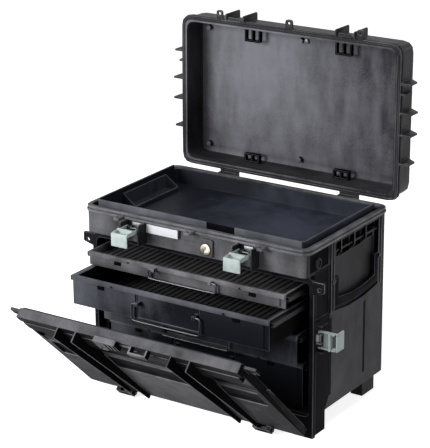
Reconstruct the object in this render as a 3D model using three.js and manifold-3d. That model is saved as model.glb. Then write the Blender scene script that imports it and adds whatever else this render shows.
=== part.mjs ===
// A hard tool case with a hinged lid, a drop-down front panel, drawers on runners and a loose top tray.
// Millimetres. X runs across the front, Y runs from front to back, Z is up. Every piece is drawn
// with the case shut, and groups then turn or slide it to where it stands at rest.

import * as THREE from 'three';
import { mergeVertices } from 'three/addons/utils/BufferGeometryUtils.js';
import Module from 'manifold-3d';

const wasm = await Module();
wasm.setup();

// Shared clearances and the overrun of every cut
const seatGap = 0.3;
const runGap = 0.8;
const overrun = 20;

// Counts of steps on round shapes
const arcSteps = 2;
const wideArcSteps = 3;
const pinSides = 10;
const wireSides = 8;
const roundSides = 20;

// The body shell: the drawer bay ends at the ceiling, and the upper band stands between it and the rim
const body = { halfWidth: 264, halfDepth: 162, bottom: 42, wall: 5, corner: 10, ceiling: 332 };
body.ceilingWall = 6;
body.bandRise = 18;
body.bandHeight = 47;
body.bandBottom = body.ceiling + body.bandRise;
const foot = { frontWidth: 42, frontLength: 46, rearWidth: 28, rearLength: 50 };
foot.rearInset = 14;
foot.rearFromBack = 13;
const rim = { sideReach: 6, frontReach: 5.4, corner: 25, height: 12, lip: 5, groove: 2.5, grooveDepth: 4 };
rim.halfWidth = body.halfWidth + rim.sideReach;
rim.halfDepth = body.halfDepth + rim.frontReach;
rim.bottom = body.bandBottom + body.bandHeight;
rim.top = rim.bottom + rim.height;
const well = { wall: 6, corner: 14 };
const trayLedge = { width: 14, inset: 22, height: 4 };

// The frame round the drawer bay
const frame = { setBack: 24, depth: 11, sideReach: 5, belowBand: 3, bottom: 14, corner: 25, lowCorner: 8 };
frame.front = -(body.halfDepth - frame.setBack);
frame.halfWidth = body.halfWidth + frame.sideReach;
frame.top = body.bandBottom - frame.belowBand;
const bay = { lowLip: 4, corner: 12 };
bay.halfWidth = body.halfWidth - body.wall;
bay.bottom = body.bottom + bay.lowLip;
const ear = { reach: 24, fromTop: 9, height: 29, thick: 6, hole: 4, holeShare: 0.45, cornerCut: 8 };
ear.high = frame.top - ear.fromTop;
ear.low = ear.high - ear.height;

// Guards and tabs on the upper band
const guard = { x: 135, half: 22, thick: 3, reach: 30, aboveBand: 3 };
guard.low = body.bandBottom + guard.aboveBand;
const tab = { fromGuard: 37, centreX: 1, width: 15, centreWidth: 17, reach: 19, thick: 6, hole: 4 };
tab.sideX = guard.x + tab.fromGuard;

// The side handles and their recesses
const recess = { fromFront: 111, fromBack: 35, belowRim: 8, height: 142, sag: 9, depth: 8.5, lining: 3.6 };
recess.front = -(body.halfDepth - recess.fromFront);
recess.rear = body.halfDepth - recess.fromBack;
recess.high = rim.bottom - recess.belowRim;
recess.low = recess.high - recess.height;
const rib = { width: 4, pitch: 11, proud: 2 };
const gusset = { thick: 3, height: 37, chamfer: 14 };
gusset.low = recess.high - gusset.height;
gusset.placeShares = [0.14, 0.44, 0.7];
const handle = { thick: 6, arm: 14, bar: 17, sag: 8, boss: 6, pivotFromTop: 77, lowGap: 9, proud: 3.2 };
handle.drop = recess.height - handle.pivotFromTop - handle.lowGap;
handle.above = 6;
handle.pin = 2.5;
handle.pinReach = 5;

// Shallow features of the side walls
const groove = { width: 8, depth: 2.5, aboveFloor: 26, ahead: 11, behind: 51, frontDrop: 11, rearDrop: 20 };
groove.low = body.bottom + groove.aboveFloor;
groove.frontY = recess.front - groove.ahead;
groove.rearY = recess.rear - groove.behind;
groove.frontHigh = recess.low - groove.frontDrop;
groove.rearHigh = recess.low - groove.rearDrop;
const button = { fromFront: 49, aboveBand: 17, radius: 11, inner: 8, proud: 1.2 };
button.y = -(body.halfDepth - button.fromFront);
button.z = body.bandBottom + button.aboveBand;

// The rails inside the drawer bay
const rail = { inset: 13, thick: 3, frontGap: 8, rearGap: 11, flange: 3, slot: 9, ledge: 3 };
rail.inner = bay.halfWidth - rail.inset;
rail.front = frame.front + frame.depth + rail.frontGap;
rail.rear = body.halfDepth - body.wall - rail.rearGap;
const runner = { width: 14, height: 10, thick: 3 };

// The drawers, from the top down, in units of one pitch
const drawer = { sideGap: 9, setBack: 10, rearGap: 3, wall: 3, lip: 10, flange: 4, sideInset: 9 };
drawer.lipDepth = 4;
drawer.frontWall = 3;
drawer.topGap = 10;
drawer.lowGap = 8;
drawer.gap = 4;
drawer.halfWidth = rail.inner - drawer.sideGap;
drawer.front = frame.front + drawer.setBack;
drawer.rear = rail.rear - drawer.rearGap;
drawer.stackTop = body.ceiling - drawer.topGap;
drawer.units = [1, 2, 2, 3];
drawer.pitch = (drawer.stackTop - drawer.lowGap - body.bottom) / drawer.units.reduce((a, b) => a + b);
drawer.out = [68, 127, 24, 0];
const facing = { panelWidth: 150, panelDepth: 1.5, notchX: 135, notchWidth: 7, notchHeight: 5 };
const mat = { thick: 3, ribWidth: 3, ribPitch: 14, ribHeight: 2, highFloor: 16 };
const bail = { halfSpan: 82, drop: 37, shallowDrop: 20, wire: 1.7, bend: 5, tail: 9, fromTop: 27 };
bail.shallowFromTop = 7;
bail.proud = 6;
const clip = { width: 7, height: 8, hole: 2.3, inner: 72 };

// The loose tray and its bin
const tray = { sideGap: 7.5, endGap: 9, sunk: 34, proud: 10, rearDrop: 1, wall: 3.5, corner: 12 };
tray.halfWidth = body.halfWidth - well.wall - tray.sideGap;
tray.halfDepth = body.halfDepth - well.wall - tray.endGap;
tray.floor = rim.top - tray.sunk;
tray.top = rim.top + tray.proud;
tray.rearTop = rim.top - tray.rearDrop;
tray.notchLeft = 24;
tray.notchRight = 90;
tray.notchDepth = 15;
const bin = { fromFront: 89, fromBack: 47, wall: 2, width: 34, low: 8, high: 32, base: 2 };
bin.front = -(tray.halfDepth - bin.fromFront);
bin.rear = tray.halfDepth - bin.fromBack;

// The lid
const lid = { sideReach: 2, frontReach: 1, gap: 0.6, height: 64.4, corner: 24, wall: 4, edge: 8, inset: 14 };
lid.halfWidth = body.halfWidth + lid.sideReach;
lid.halfDepth = body.halfDepth + lid.frontReach;
lid.bottom = rim.top + lid.gap;
lid.top = lid.bottom + lid.height;
lid.innerCorner = 20;
lid.openDegrees = 90.7;
const seal = { inset: 8, width: 3.4, depth: 4, height: 3 };
const hinge = { behind: 18.5, below: 17.3, x: 150, half: 31, lugHalf: 20, radius: 9, pin: 3, arm: 18 };
hinge.earWidth = 9;
hinge.y = body.halfDepth + hinge.behind;
hinge.z = rim.top - hinge.below;
const fin = { y: 23, reach: 28, thick: 4, earY: 85, earReach: 24, hole: 4, smallY: -63, smallReach: 13 };
fin.kneeShare = 0.6;
fin.top = 10;
const lidGuard = { reach: 17, chamfer: 3, top: 6 };
const boss = { radius: 6, height: 10, inset: 22 };
const stud = { radius: 4, height: 3, head: 5.5 };
const clipSize = { x: 112, width: 38, high: 12, below: 12, rib: 3.5, rearReach: 20, frontReach: 36 };

// The front panel
const panel = { sideReach: 1, sealGap: 3, depth: 17, low: 15, aboveFrame: 1, openDegrees: 46.2 };
panel.halfWidth = body.halfWidth + panel.sideReach;
panel.inner = frame.front - panel.sealGap;
panel.outer = panel.inner - panel.depth;
panel.high = frame.top + panel.aboveFrame;
panel.skin = 11;
panel.band = 24;
panel.bandCorner = 14;
panel.coveHeight = 82;
panel.coveDepth = 7;
panel.coveStep = 4;
panel.lipHeight = 30;
panel.lipProud = 6;
panel.lipSet = 8;
panel.ledgeHeight = 13;
panel.ledgeDepth = 2.5;
panel.finReach = 27;
panel.finThick = 3.5;
panel.finInset = 1.5;
panel.toe = 7;
panel.toeDrop = 4;
const panelHinge = { x: 170, z: 9, proud: 2, width: 20, radius: 5, pin: 2.2, arm: 9, cover: 2.2, drop: 3 };
panelHinge.y = panel.outer - panelHinge.proud;
const panelSealSize = { edge: 2, width: 5 };
const hasp = { left: -62, right: -8, rise: 12, reach: 12, hole: 5, thick: 5, bars: 3 };
const loop = { left: 18, right: 60, reach: 16, thick: 4, height: 14 };

// The label holder and the key lock
const label = { right: -29, belowRim: 1, height: 16.5, card: 1.2, frame: 3, proud: 3.5 };
label.left = -(guard.x - guard.half - guard.thick / 2 - runGap);
label.high = rim.bottom - label.belowRim;
label.low = label.high - label.height;
const pocket = { right: 8, inset: 2.7, aboveBand: 7, height: 20, depth: 1.5 };
pocket.left = label.left + pocket.inset;
pocket.low = body.bandBottom + pocket.aboveBand;
pocket.high = pocket.low + pocket.height;
const lock = { x: 35.5, plateLeft: 20, plateRight: 51, aboveBand: 4, height: 36, eyeHeight: 15, proud: 4 };
lock.low = body.bandBottom + lock.aboveBand;
lock.high = lock.low + lock.height;
lock.z = lock.low + lock.eyeHeight;
lock.radius = 9;
lock.face = 11.5;
lock.faceProud = 3;
lock.slotWidth = 2.2;
lock.slotLength = 9;
lock.slotDepth = 2;
lock.camLength = 18;
lock.camWidth = 10;
lock.camThick = 2.2;

// The latches: a bracket on the wall, a yoke that swings on it and a lever on the yoke's end
const latch = { openDegrees: 90, pin: 2, pinHalf: 20, thick: 2.5, hookThick: 3 };
latch.cheek = { inner: 16, half: 4.5, corner: 3.5 };
latch.web = { start: 6, end: 8, thick: 2 };
latch.lever = { half: 19.5, drop: 25, above: 3, offset: 5.2, thick: 3, corner: 2 };
latch.leverEar = { inner: 12.5, thick: 3, low: 4.5, high: 3 };
latch.bracket = { half: 10.5, low: 13, radius: 3.5 };
const frontLatch = { belowRim: 13, out: 13, reach: 44, hookAt: 30, hookHigh: 7, high: 10 };
const sideLatch = { fromFront: 40, z: 213, out: 11, reach: 32, hookAt: 23, hookHigh: 8.5, high: 4 };
frontLatch.z = rim.bottom - frontLatch.belowRim;
sideLatch.y = -(body.halfDepth - sideLatch.fromFront);
const keeper = { width: 30, low: 1.2, height: 2.6, reach: 6.5 };
const sideKeeper = { thick: 2.6, reach: 8.9, length: 30 };
sideKeeper.back = panel.inner - runGap;
const sideGuard = { half: 28, thick: 3, reach: 18, length: 27 };
sideGuard.front = frame.front + frame.depth + 2 * seatGap;

// Finishes of the materials
const charcoal = { color: 0x1d1e21, roughness: 0.62, metalness: 0 };
const slate = { color: 0x2b2d35, roughness: 0.55, metalness: 0 };
const jet = { color: 0x121214, roughness: 0.7, metalness: 0 };
const celadon = { color: 0xa9b8b4, roughness: 0.5, metalness: 0 };
const steel = { color: 0x6b6c6e, roughness: 0.35, metalness: 1 };
const brass = { color: 0xc9bda6, roughness: 0.3, metalness: 1 };
const paper = { color: 0xd6dadd, roughness: 0.6, metalness: 0 };
const rubber = { color: 0x161617, roughness: 0.85, metalness: 0 };

// A closed geometry as a solid
function solid(geometry) {
  const bare = geometry.clone();
  bare.deleteAttribute('normal');
  bare.deleteAttribute('uv');
  const merged = mergeVertices(bare);
  return new wasm.Manifold(new wasm.Mesh({
    numProp: 3,
    vertProperties: new Float32Array(merged.attributes.position.array),
    triVerts: new Uint32Array(merged.index.array),
  }));
}

// A solid as a geometry
function geometryOf(shape) {
  const mesh = shape.getMesh();
  const geometry = new THREE.BufferGeometry();
  geometry.setAttribute('position', new THREE.BufferAttribute(new Float32Array(mesh.vertProperties), 3));
  geometry.setIndex(new THREE.BufferAttribute(new Uint32Array(mesh.triVerts), 1));
  return geometry;
}

const join = (...shapes) => shapes.flat().reduce((whole, shape) => whole.add(shape));
const cut = (shape, ...tools) => tools.flat().reduce((whole, tool) => whole.subtract(tool), shape);
const span = (middle, half) => [middle - half, middle + half];

// A solid mirrored across the middle, along X or Y
function mirrored(shape, axis = 'x') {
  const geometry = geometryOf(shape);
  const flip = axis === 'x' ? [-1, 1, 1] : [1, -1, 1];
  geometry.scale(...flip);
  const index = geometry.index.array;
  for (let i = 0; i < index.length; i += 3) {
    [index[i], index[i + 1]] = [index[i + 1], index[i]];
  }
  return solid(geometry);
}

const bothSides = (shape) => [shape, mirrored(shape)];

// A box between two corners, given as ranges along X, Y and Z
function block(x, y, z) {
  const geometry = new THREE.BoxGeometry(x[1] - x[0], y[1] - y[0], z[1] - z[0]);
  return solid(geometry.translate((x[0] + x[1]) / 2, (y[0] + y[1]) / 2, (z[0] + z[1]) / 2));
}

// An outline through points, each with an optional corner radius as its third value
function outline(points) {
  const shape = new THREE.Shape();
  const count = points.length;
  points.forEach(([x, y, radius = 0], i) => {
    const here = new THREE.Vector2(x, y);
    const before = new THREE.Vector2(...points[(i + count - 1) % count]);
    const after = new THREE.Vector2(...points[(i + 1) % count]);
    const into = before.sub(here).normalize();
    const away = after.sub(here).normalize();
    const half = into.angleTo(away) / 2;
    const length = radius / Math.tan(half);
    const start = here.clone().addScaledVector(into, length);
    const end = here.clone().addScaledVector(away, length);
    if (i === 0) {
      shape.moveTo(start.x, start.y);
    } else {
      shape.lineTo(start.x, start.y);
    }
    if (radius > 0) {
      shape.quadraticCurveTo(here.x, here.y, end.x, end.y);
    }
  });
  shape.closePath();
  return shape;
}

// An outline of a rectangle with round corners
const rectangle = (x, y, radius) => outline([
  [x[0], y[0], radius], [x[1], y[0], radius], [x[1], y[1], radius], [x[0], y[1], radius],
]);

// An outline drawn in one plane and carried along the axis across it
function prism(plane, shape, range, { steps = wideArcSteps, edge = 0 } = {}) {
  const depth = range[1] - range[0] - 2 * edge;
  const geometry = new THREE.ExtrudeGeometry(shape, {
    depth,
    curveSegments: steps,
    bevelEnabled: edge > 0,
    bevelThickness: edge,
    bevelSize: edge,
    bevelOffset: -edge,
    bevelSegments: arcSteps,
  });
  if (plane === 'xy') {
    geometry.translate(0, 0, range[0] + edge);
  } else if (plane === 'yz') {
    geometry.rotateZ(Math.PI / 2).rotateY(Math.PI / 2);
    geometry.translate(range[0] + edge, 0, 0);
  } else {
    geometry.rotateX(Math.PI / 2);
    geometry.translate(0, range[1] - edge, 0);
  }
  return solid(geometry);
}

// A round bar along an axis, through a centre given as the other two coordinates in X, Y, Z order
function rod(axis, centre, radius, range, sides = pinSides) {
  const length = range[1] - range[0];
  const middle = (range[0] + range[1]) / 2;
  const geometry = new THREE.CylinderGeometry(radius, radius, length, sides);
  if (axis === 'x') {
    geometry.rotateZ(Math.PI / 2).translate(middle, centre[0], centre[1]);
  } else if (axis === 'y') {
    geometry.translate(centre[0], middle, centre[1]);
  } else {
    geometry.rotateX(Math.PI / 2).translate(centre[0], centre[1], middle);
  }
  return solid(geometry);
}

// A named mesh in a group
function place(group, name, shape, finish) {
  const mesh = new THREE.Mesh(geometryOf(shape), new THREE.MeshStandardMaterial({ ...finish }));
  mesh.name = name;
  group.add(mesh);
  return mesh;
}

// A bar bent in a plane of constant Y, through points given as X, Z and a bend radius
function wire(points, y, radius, sides) {
  const line = outline(points);
  const path = line.getPoints(arcSteps);
  const open = path.slice(0, path.length - 1);
  const positions = [];
  const indices = [];
  open.forEach((point, i) => {
    const before = open[Math.max(i - 1, 0)];
    const after = open[Math.min(i + 1, open.length - 1)];
    const into = point.clone().sub(before);
    const away = after.clone().sub(point);
    const along = into.normalize().add(away.normalize()).normalize();
    const straight = i === 0 ? away : into;
    const spread = radius / Math.max(along.dot(straight), Math.SQRT1_2);
    for (let k = 0; k < sides; k += 1) {
      const angle = (2 * Math.PI * k) / sides;
      const side = Math.cos(angle) * spread;
      positions.push(point.x + along.y * side, y + Math.sin(angle) * radius, point.y - along.x * side);
    }
  });
  const last = (open.length - 1) * sides;
  for (let ring = 0; ring < last; ring += sides) {
    for (let k = 0; k < sides; k += 1) {
      const next = (k + 1) % sides;
      indices.push(ring + k, ring + next, ring + sides + k);
      indices.push(ring + next, ring + sides + next, ring + sides + k);
    }
  }
  for (let k = 1; k < sides - 1; k += 1) {
    indices.push(0, k + 1, k);
    indices.push(last, last + k, last + k + 1);
  }
  const geometry = new THREE.BufferGeometry();
  geometry.setAttribute('position', new THREE.BufferAttribute(new Float32Array(positions), 3));
  geometry.setIndex(indices);
  return solid(geometry);
}

// Places that several pieces share
const frameBack = frame.front + frame.depth;
const shellFront = frameBack + seatGap;
const wellFront = -(body.halfDepth - well.wall);
const wellSide = body.halfWidth - well.wall;
const trayBottom = tray.floor - tray.wall;
const recessFloor = body.halfWidth - recess.depth;
const handleX = body.halfWidth - handle.proud + handle.thick / 2 - seatGap;
const handleZ = recess.high - handle.pivotFromTop;
const unitsAbove = (i) => drawer.units.slice(0, i).reduce((a, b) => a + b, 0);
const drawerTop = (i) => drawer.stackTop - drawer.pitch * unitsAbove(i);
const drawerHeight = (i) => drawer.pitch * drawer.units[i] - drawer.gap;
const sideNames = ['left', 'right'];

// A ring of the rim: a rounded rectangle set in from the rim's outer edge
const rimOutline = (inset) => rectangle(
  span(0, rim.halfWidth - inset), span(0, rim.halfDepth - inset), rim.corner - inset,
);

// Two lips with a groove between them, from a mating face towards the outside
function lips(face, direction) {
  const range = (a, b) => [a, b].map((offset) => face + direction * offset).sort((p, q) => p - q);
  const total = rim.top - rim.bottom;
  return join(
    prism('xy', rimOutline(0), range(total - rim.lip, total)),
    prism('xy', rimOutline(rim.grooveDepth), range(0, total)),
    prism('xy', rimOutline(rim.groove / 2), range(0, total - rim.lip - rim.groove)),
  );
}

// A flat tab with a padlock hole, standing forward of the rim
function padlockTab(x, width, z, reach) {
  const front = -rim.halfDepth - reach;
  const shape = rectangle(span(x, width / 2), [front, -rim.halfDepth + tab.thick], width / 3);
  const plate = prism('xy', shape, z);
  return cut(plate, rod('z', [x, front + width / 2], tab.hole, [z[0] - overrun, z[1] + overrun]));
}

// The three padlock tabs of one rim
const padlockTabs = (z, reach) => [
  ...bothSides(padlockTab(tab.sideX, tab.width, z, reach)),
  padlockTab(tab.centreX, tab.centreWidth, z, reach),
];

// Pairs of upright plates on both sides of each front latch, from a profile in Y and Z
function guardPairs(profile) {
  const plates = [guard.x - guard.half, guard.x + guard.half].map(
    (x) => prism('yz', profile, span(x, guard.thick / 2)),
  );
  return plates.flatMap(bothSides);
}

// The recess for one side handle: its sunken outline, wide at the middle
function recessOutline(grow) {
  const shape = new THREE.Shape();
  const low = recess.low - grow;
  shape.moveTo(recess.front - grow, recess.high + grow);
  shape.lineTo(recess.front - grow, low);
  shape.quadraticCurveTo((recess.front + recess.rear) / 2, low - 2 * recess.sag, recess.rear + grow, low);
  shape.lineTo(recess.rear + grow, recess.high + grow);
  shape.closePath();
  return shape;
}

// Ribs, webs and pivot bosses that stand in the right side's recess
function recessTrim() {
  const depth = [recessFloor - seatGap, body.halfWidth + rib.proud];
  const length = recess.rear - recess.front;
  const webs = gusset.placeShares.map((share) => {
    const middle = recess.front + length * share;
    const profile = outline([
      [depth[0], gusset.low], [depth[1], gusset.low + gusset.chamfer],
      [depth[1], rim.bottom], [depth[0], rim.bottom],
    ]);
    return prism('xz', profile, span(middle, gusset.thick / 2));
  });
  const edges = [
    recess.front, recess.front - rib.pitch, recess.rear + rib.width, recess.rear + rib.width + rib.pitch,
  ].map((y) => block([recessFloor + rib.proud, depth[1]], [y - rib.width, y], [recess.low, rim.bottom]));
  const bosses = [[recess.front - rib.pitch, recess.front], [recess.rear, recess.rear + rib.pitch]].map(
    (y) => rod('y', [handleX, handleZ], handle.boss, y),
  );
  return join(webs, edges, bosses);
}

// Pin holes for the handle in the right side
const handleHoles = () => rod(
  'y', [handleX, handleZ], handle.pin + seatGap,
  [recess.front - handle.pinReach, recess.rear + handle.pinReach],
);

// Foot blocks of the right side
function feet() {
  const top = body.bottom + body.wall / 2;
  const front = block(
    [body.halfWidth - foot.frontWidth, body.halfWidth], [shellFront, shellFront + foot.frontLength],
    [0, top],
  );
  const rearY = body.halfDepth - foot.rearFromBack;
  const rearX = body.halfWidth - foot.rearInset;
  return [front, block([rearX - foot.rearWidth, rearX], [rearY - foot.rearLength, rearY], [0, top])];
}

// Cuts and raised details of the right side wall
function sideGrooves() {
  const x = [body.halfWidth - groove.depth, body.halfWidth + overrun];
  return [
    block(x, span(groove.frontY, groove.width / 2), [groove.low, groove.frontHigh]),
    block(x, span(groove.rearY, groove.width / 2), [groove.low, groove.rearHigh]),
  ];
}

function sideButton() {
  const x = [body.halfWidth - button.proud, body.halfWidth + button.proud];
  const centre = [button.y, button.z];
  const inside = rod('x', centre, button.inner, [body.halfWidth, x[1] + overrun], roundSides);
  return cut(rod('x', centre, button.radius, x, roundSides), inside);
}

function sideLatchGuards() {
  return [-1, 1].map((way) => {
    const z = sideLatch.z + way * sideGuard.half;
    const profile = rectangle(
      [body.halfWidth - sideGuard.thick, body.halfWidth + sideGuard.reach],
      [sideGuard.front, sideGuard.front + sideGuard.length], sideGuard.thick,
    );
    return prism('xy', profile, span(z, sideGuard.thick / 2));
  });
}

// The base: one moulding with the drawer bay, the tray well, the rim and the feet
function baseShell() {
  const corner = rectangle(span(0, body.halfWidth), span(0, body.halfDepth), body.corner);
  const outside = prism('xy', corner, [body.bottom, rim.bottom + rim.lip / 2]);
  const step = block(
    span(0, body.halfWidth + overrun), [-body.halfDepth - overrun, shellFront],
    [body.bottom - overrun, body.bandBottom],
  );
  const bayCut = block(
    span(0, bay.halfWidth), [shellFront - overrun, body.halfDepth - body.wall],
    [body.bottom + body.wall, body.ceiling],
  );
  const wellFloor = body.ceiling + body.ceilingWall;
  const wellShape = (front) => rectangle(span(0, wellSide), [front, -wellFront], well.corner);
  const lowerWell = prism('xy', wellShape(shellFront + body.wall), [wellFloor, rim.top + overrun]);
  const upperWell = prism('xy', wellShape(wellFront), [body.bandBottom + body.wall, rim.top + overrun]);
  const linings = bothSides(prism(
    'yz', recessOutline(recess.lining), [recessFloor - recess.lining, body.halfWidth - body.wall / 2],
  ));
  const recesses = bothSides(prism('yz', recessOutline(0), [recessFloor, body.halfWidth + overrun]));
  const ledges = bothSides(block(
    [wellSide - trayLedge.width, wellSide + well.wall / 2], span(0, body.halfDepth - trayLedge.inset),
    [trayBottom - seatGap - trayLedge.height, trayBottom - seatGap],
  ));
  const guards = guardPairs(rectangle(
    [-body.halfDepth - guard.reach, -body.halfDepth + guard.thick / 2],
    [guard.low, rim.bottom + rim.lip / 2], guard.thick,
  ));
  const pocketCut = block(
    [pocket.left, pocket.right], [-body.halfDepth - overrun, -body.halfDepth + pocket.depth],
    [pocket.low, pocket.high],
  );
  const lockHole = rod(
    'y', [lock.x, lock.z], lock.radius + runGap, [-body.halfDepth - overrun, wellFront + seatGap],
    roundSides,
  );
  const hollow = cut(join(outside, lips(rim.top, -1)), step, bayCut, lowerWell, upperWell);
  const tabs = padlockTabs([rim.bottom, rim.bottom + tab.thick], tab.reach).map(
    (piece) => cut(piece, upperWell),
  );
  const trim = recessTrim();
  const raised = join(
    cut(join(hollow, linings), recesses), ledges, guards, tabs, bothSides(trim),
    feet().flatMap(bothSides), bothSides(sideButton()), sideLatchGuards().flatMap(bothSides), hingeEars(),
  );
  return cut(
    raised, pocketCut, lockHole, bothSides(handleHoles()), sideGrooves().flatMap(bothSides),
    bothSides(rod('x', [hinge.y, hinge.z], hinge.pin + seatGap, span(hinge.x, hinge.half + overrun))),
  );
}

// The base's ears on both sides of each lid lug
function hingeEars() {
  const inner = hinge.half - hinge.earWidth;
  const ears = [[-hinge.half, -inner], [inner, hinge.half]].map(([from, to]) => {
    const x = [hinge.x + from, hinge.x + to];
    const arm = block(x, [body.halfDepth - body.wall / 2, hinge.y], [hinge.z - hinge.radius, hinge.z]);
    return join(arm, rod('x', [hinge.y, hinge.z], hinge.radius, x, roundSides));
  });
  return ears.flatMap(bothSides);
}

// The frame round the drawer bay, with its legs, padlock ears and hinge lugs
function bayFrame() {
  const legX = body.halfWidth - foot.frontWidth;
  const { halfWidth: side, bottom, top, corner, lowCorner } = frame;
  const shape = outline([
    [-side, 0], [-legX, 0], [-legX, bottom, lowCorner], [legX, bottom, lowCorner], [legX, 0], [side, 0],
    [side, top, corner], [-side, top, corner],
  ]);
  const y = [frame.front, frameBack];
  const mouth = rectangle(span(0, bay.halfWidth), [bay.bottom, body.ceiling], bay.corner);
  const ring = cut(
    prism('xz', shape, y), prism('xz', mouth, [frame.front - overrun, frameBack + overrun]),
  );
  const lugX = span(panelHinge.x, panelHinge.width / 2);
  const lugZ = [panelHinge.z - panelHinge.radius, panelHinge.z + panelHinge.arm - panelHinge.radius];
  const lug = join(
    block(lugX, [panelHinge.y, frame.front + seatGap], lugZ),
    block(lugX, y, [lugZ[0], bottom + seatGap]),
    rod('x', [panelHinge.y, panelHinge.z], panelHinge.radius, lugX),
  );
  return cut(
    join(ring, bothSides(padlockEar(frame.front, frame.front + ear.thick, side)), bothSides(lug)),
    bothSides(rod(
      'x', [panelHinge.y, panelHinge.z], panelHinge.pin + seatGap, span(panelHinge.x, panelHinge.width),
    )),
  );
}

// A padlock ear at the right upper corner, from a front face to a back face
function padlockEar(front, back, side) {
  const out = frame.halfWidth + ear.reach;
  const shape = outline([
    [side - ear.thick, ear.low], [out, ear.low + ear.cornerCut, ear.cornerCut / 2],
    [out, ear.high, ear.cornerCut / 2], [side - ear.thick, ear.high],
  ]);
  const hole = [frame.halfWidth + ear.reach / 2, ear.low + (ear.high - ear.low) * ear.holeShare];
  const plate = prism('xz', shape, [front, back]);
  return cut(plate, rod('y', hole, ear.hole, [front - overrun, back + overrun]));
}

// Height of a drawer's runner
const runnerLow = (i) => drawerTop(i) - drawer.flange - seatGap - runner.height;

// One upright rail panel inside the bay, with a window for each step and a ledge for each runner
function railPanel() {
  const z = [body.bottom + body.wall + seatGap, body.ceiling - seatGap];
  const outer = bay.halfWidth - seatGap;
  const plate = block([rail.inner, rail.inner + rail.thick], [rail.front, rail.rear], z);
  const flanges = [rail.front, rail.rear - rail.flange].map(
    (y) => block([rail.inner, outer], [y, y + rail.flange], z),
  );
  const windows = [];
  const middle = (rail.inner + rail.thick + outer) / 2;
  for (let top = drawer.stackTop; top - drawer.pitch > z[0]; top -= drawer.pitch) {
    windows.push(block(
      span(middle, rail.slot / 2), [rail.front - overrun, rail.front + rail.flange + overrun],
      [top - rail.slot, top],
    ));
  }
  const ledges = drawer.units.map((unit, i) => block(
    [rail.inner - runner.width / 2, rail.inner + rail.thick / 2], [rail.front, rail.rear],
    [runnerLow(i) - seatGap - rail.ledge, runnerLow(i) - seatGap],
  ));
  return join(cut(join(plate, flanges), windows), ledges);
}

// The cradle of one drawer: two runners under the flanges of its sides, and a tie behind it
function runners(i) {
  const inner = drawer.halfWidth - drawer.sideInset + runGap;
  const outer = rail.inner - runGap;
  const low = runnerLow(i);
  const y = [drawer.front + drawer.lipDepth + drawer.frontWall + seatGap, rail.rear];
  const bar = block([inner, outer], y, [low, low + runner.height]);
  const channel = block(
    [inner - overrun, outer - runner.thick], [y[0] - overrun, y[1] + overrun],
    [low + runner.thick, low + runner.height - runner.thick],
  );
  const tie = block(
    span(0, outer - runner.thick), [drawer.rear + seatGap, y[1]], [low, low + runner.thick],
  );
  return join(bothSides(cut(bar, channel)), tie);
}

// One drawer: a tub with side flanges behind a front plate with a lip
function drawerTub(i) {
  const top = drawerTop(i);
  const low = top - drawerHeight(i);
  const side = drawer.halfWidth - drawer.sideInset;
  const plateFront = drawer.front + drawer.lipDepth;
  const plateBack = plateFront + drawer.frontWall;
  const lip = block(span(0, drawer.halfWidth), [drawer.front, plateBack], [top - drawer.lip, top]);
  const plate = block(span(0, drawer.halfWidth), [plateFront, plateBack], [low, top]);
  const floor = drawerFloor(i);
  const tub = block(span(0, side), [plateBack - seatGap, drawer.rear], [floor - drawer.wall, top]);
  const flange = block(
    span(0, drawer.halfWidth), [plateBack - seatGap, drawer.rear], [top - drawer.flange, top],
  );
  const inside = block(
    span(0, side - drawer.wall), [plateBack, drawer.rear - drawer.wall], [floor, top + overrun],
  );
  const panelCut = block(
    span(0, facing.panelWidth / 2), [drawer.front - overrun, plateFront + facing.panelDepth],
    [low + drawer.gap, top - drawer.lip],
  );
  const notches = bothSides(block(
    span(facing.notchX, facing.notchWidth / 2), [drawer.front - overrun, plateFront],
    [top - drawer.lip, top - drawer.lip + facing.notchHeight],
  ));
  return join(cut(join(lip, plate, tub, flange), inside, panelCut, notches), bailClips(i));
}

// Height of a drawer's floor: the shallow one carries it just below its lip
function drawerFloor(i) {
  const low = drawerTop(i) - drawerHeight(i) + drawer.wall;
  return i === 0 ? drawerTop(i) - mat.highFloor : low;
}

// The ribbed mat on a drawer's floor
function drawerMat(i) {
  const floor = drawerFloor(i) + seatGap;
  const side = drawer.halfWidth - drawer.sideInset - drawer.wall - runGap;
  const front = drawer.front + drawer.lipDepth + drawer.frontWall + runGap;
  const y = [front, drawer.rear - drawer.wall - runGap];
  const points = [[-side, floor + mat.thick], [-side, floor], [side, floor], [side, floor + mat.thick]];
  const count = Math.floor((2 * side - mat.ribWidth) / mat.ribPitch);
  const first = (count * mat.ribPitch + mat.ribWidth) / 2;
  for (let k = 0; k <= count; k += 1) {
    const right = first - k * mat.ribPitch;
    const left = right - mat.ribWidth;
    points.push([right, floor + mat.thick], [right, floor + mat.thick + mat.ribHeight]);
    points.push([left, floor + mat.thick + mat.ribHeight], [left, floor + mat.thick]);
  }
  return prism('xz', outline(points), y);
}

// Where a drawer's bail turns
const bailZ = (i) => drawerTop(i) - (i === 0 ? bail.shallowFromTop : bail.fromTop);
const bailY = drawer.front - bail.proud;

function drawerBail(i) {
  const z = bailZ(i);
  const low = z - (i === 0 ? bail.shallowDrop : bail.drop);
  const end = clip.inner - bail.tail / 2;
  return wire([
    [-end, z], [-bail.halfSpan, z, bail.bend], [-bail.halfSpan, low, bail.bend],
    [bail.halfSpan, low, bail.bend], [bail.halfSpan, z, bail.bend], [end, z],
  ], bailY, bail.wire, wireSides);
}

function bailClips(i) {
  const z = bailZ(i);
  const seat = i === 0 ? drawer.front : drawer.front + drawer.lipDepth;
  const piece = block(
    [clip.inner - clip.width, clip.inner], [bailY - clip.height / 2, seat + drawer.frontWall / 2],
    span(z, clip.height / 2),
  );
  const hole = rod('x', [bailY, z], clip.hole, span(clip.inner, clip.width + overrun));
  return bothSides(cut(piece, hole));
}

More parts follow.
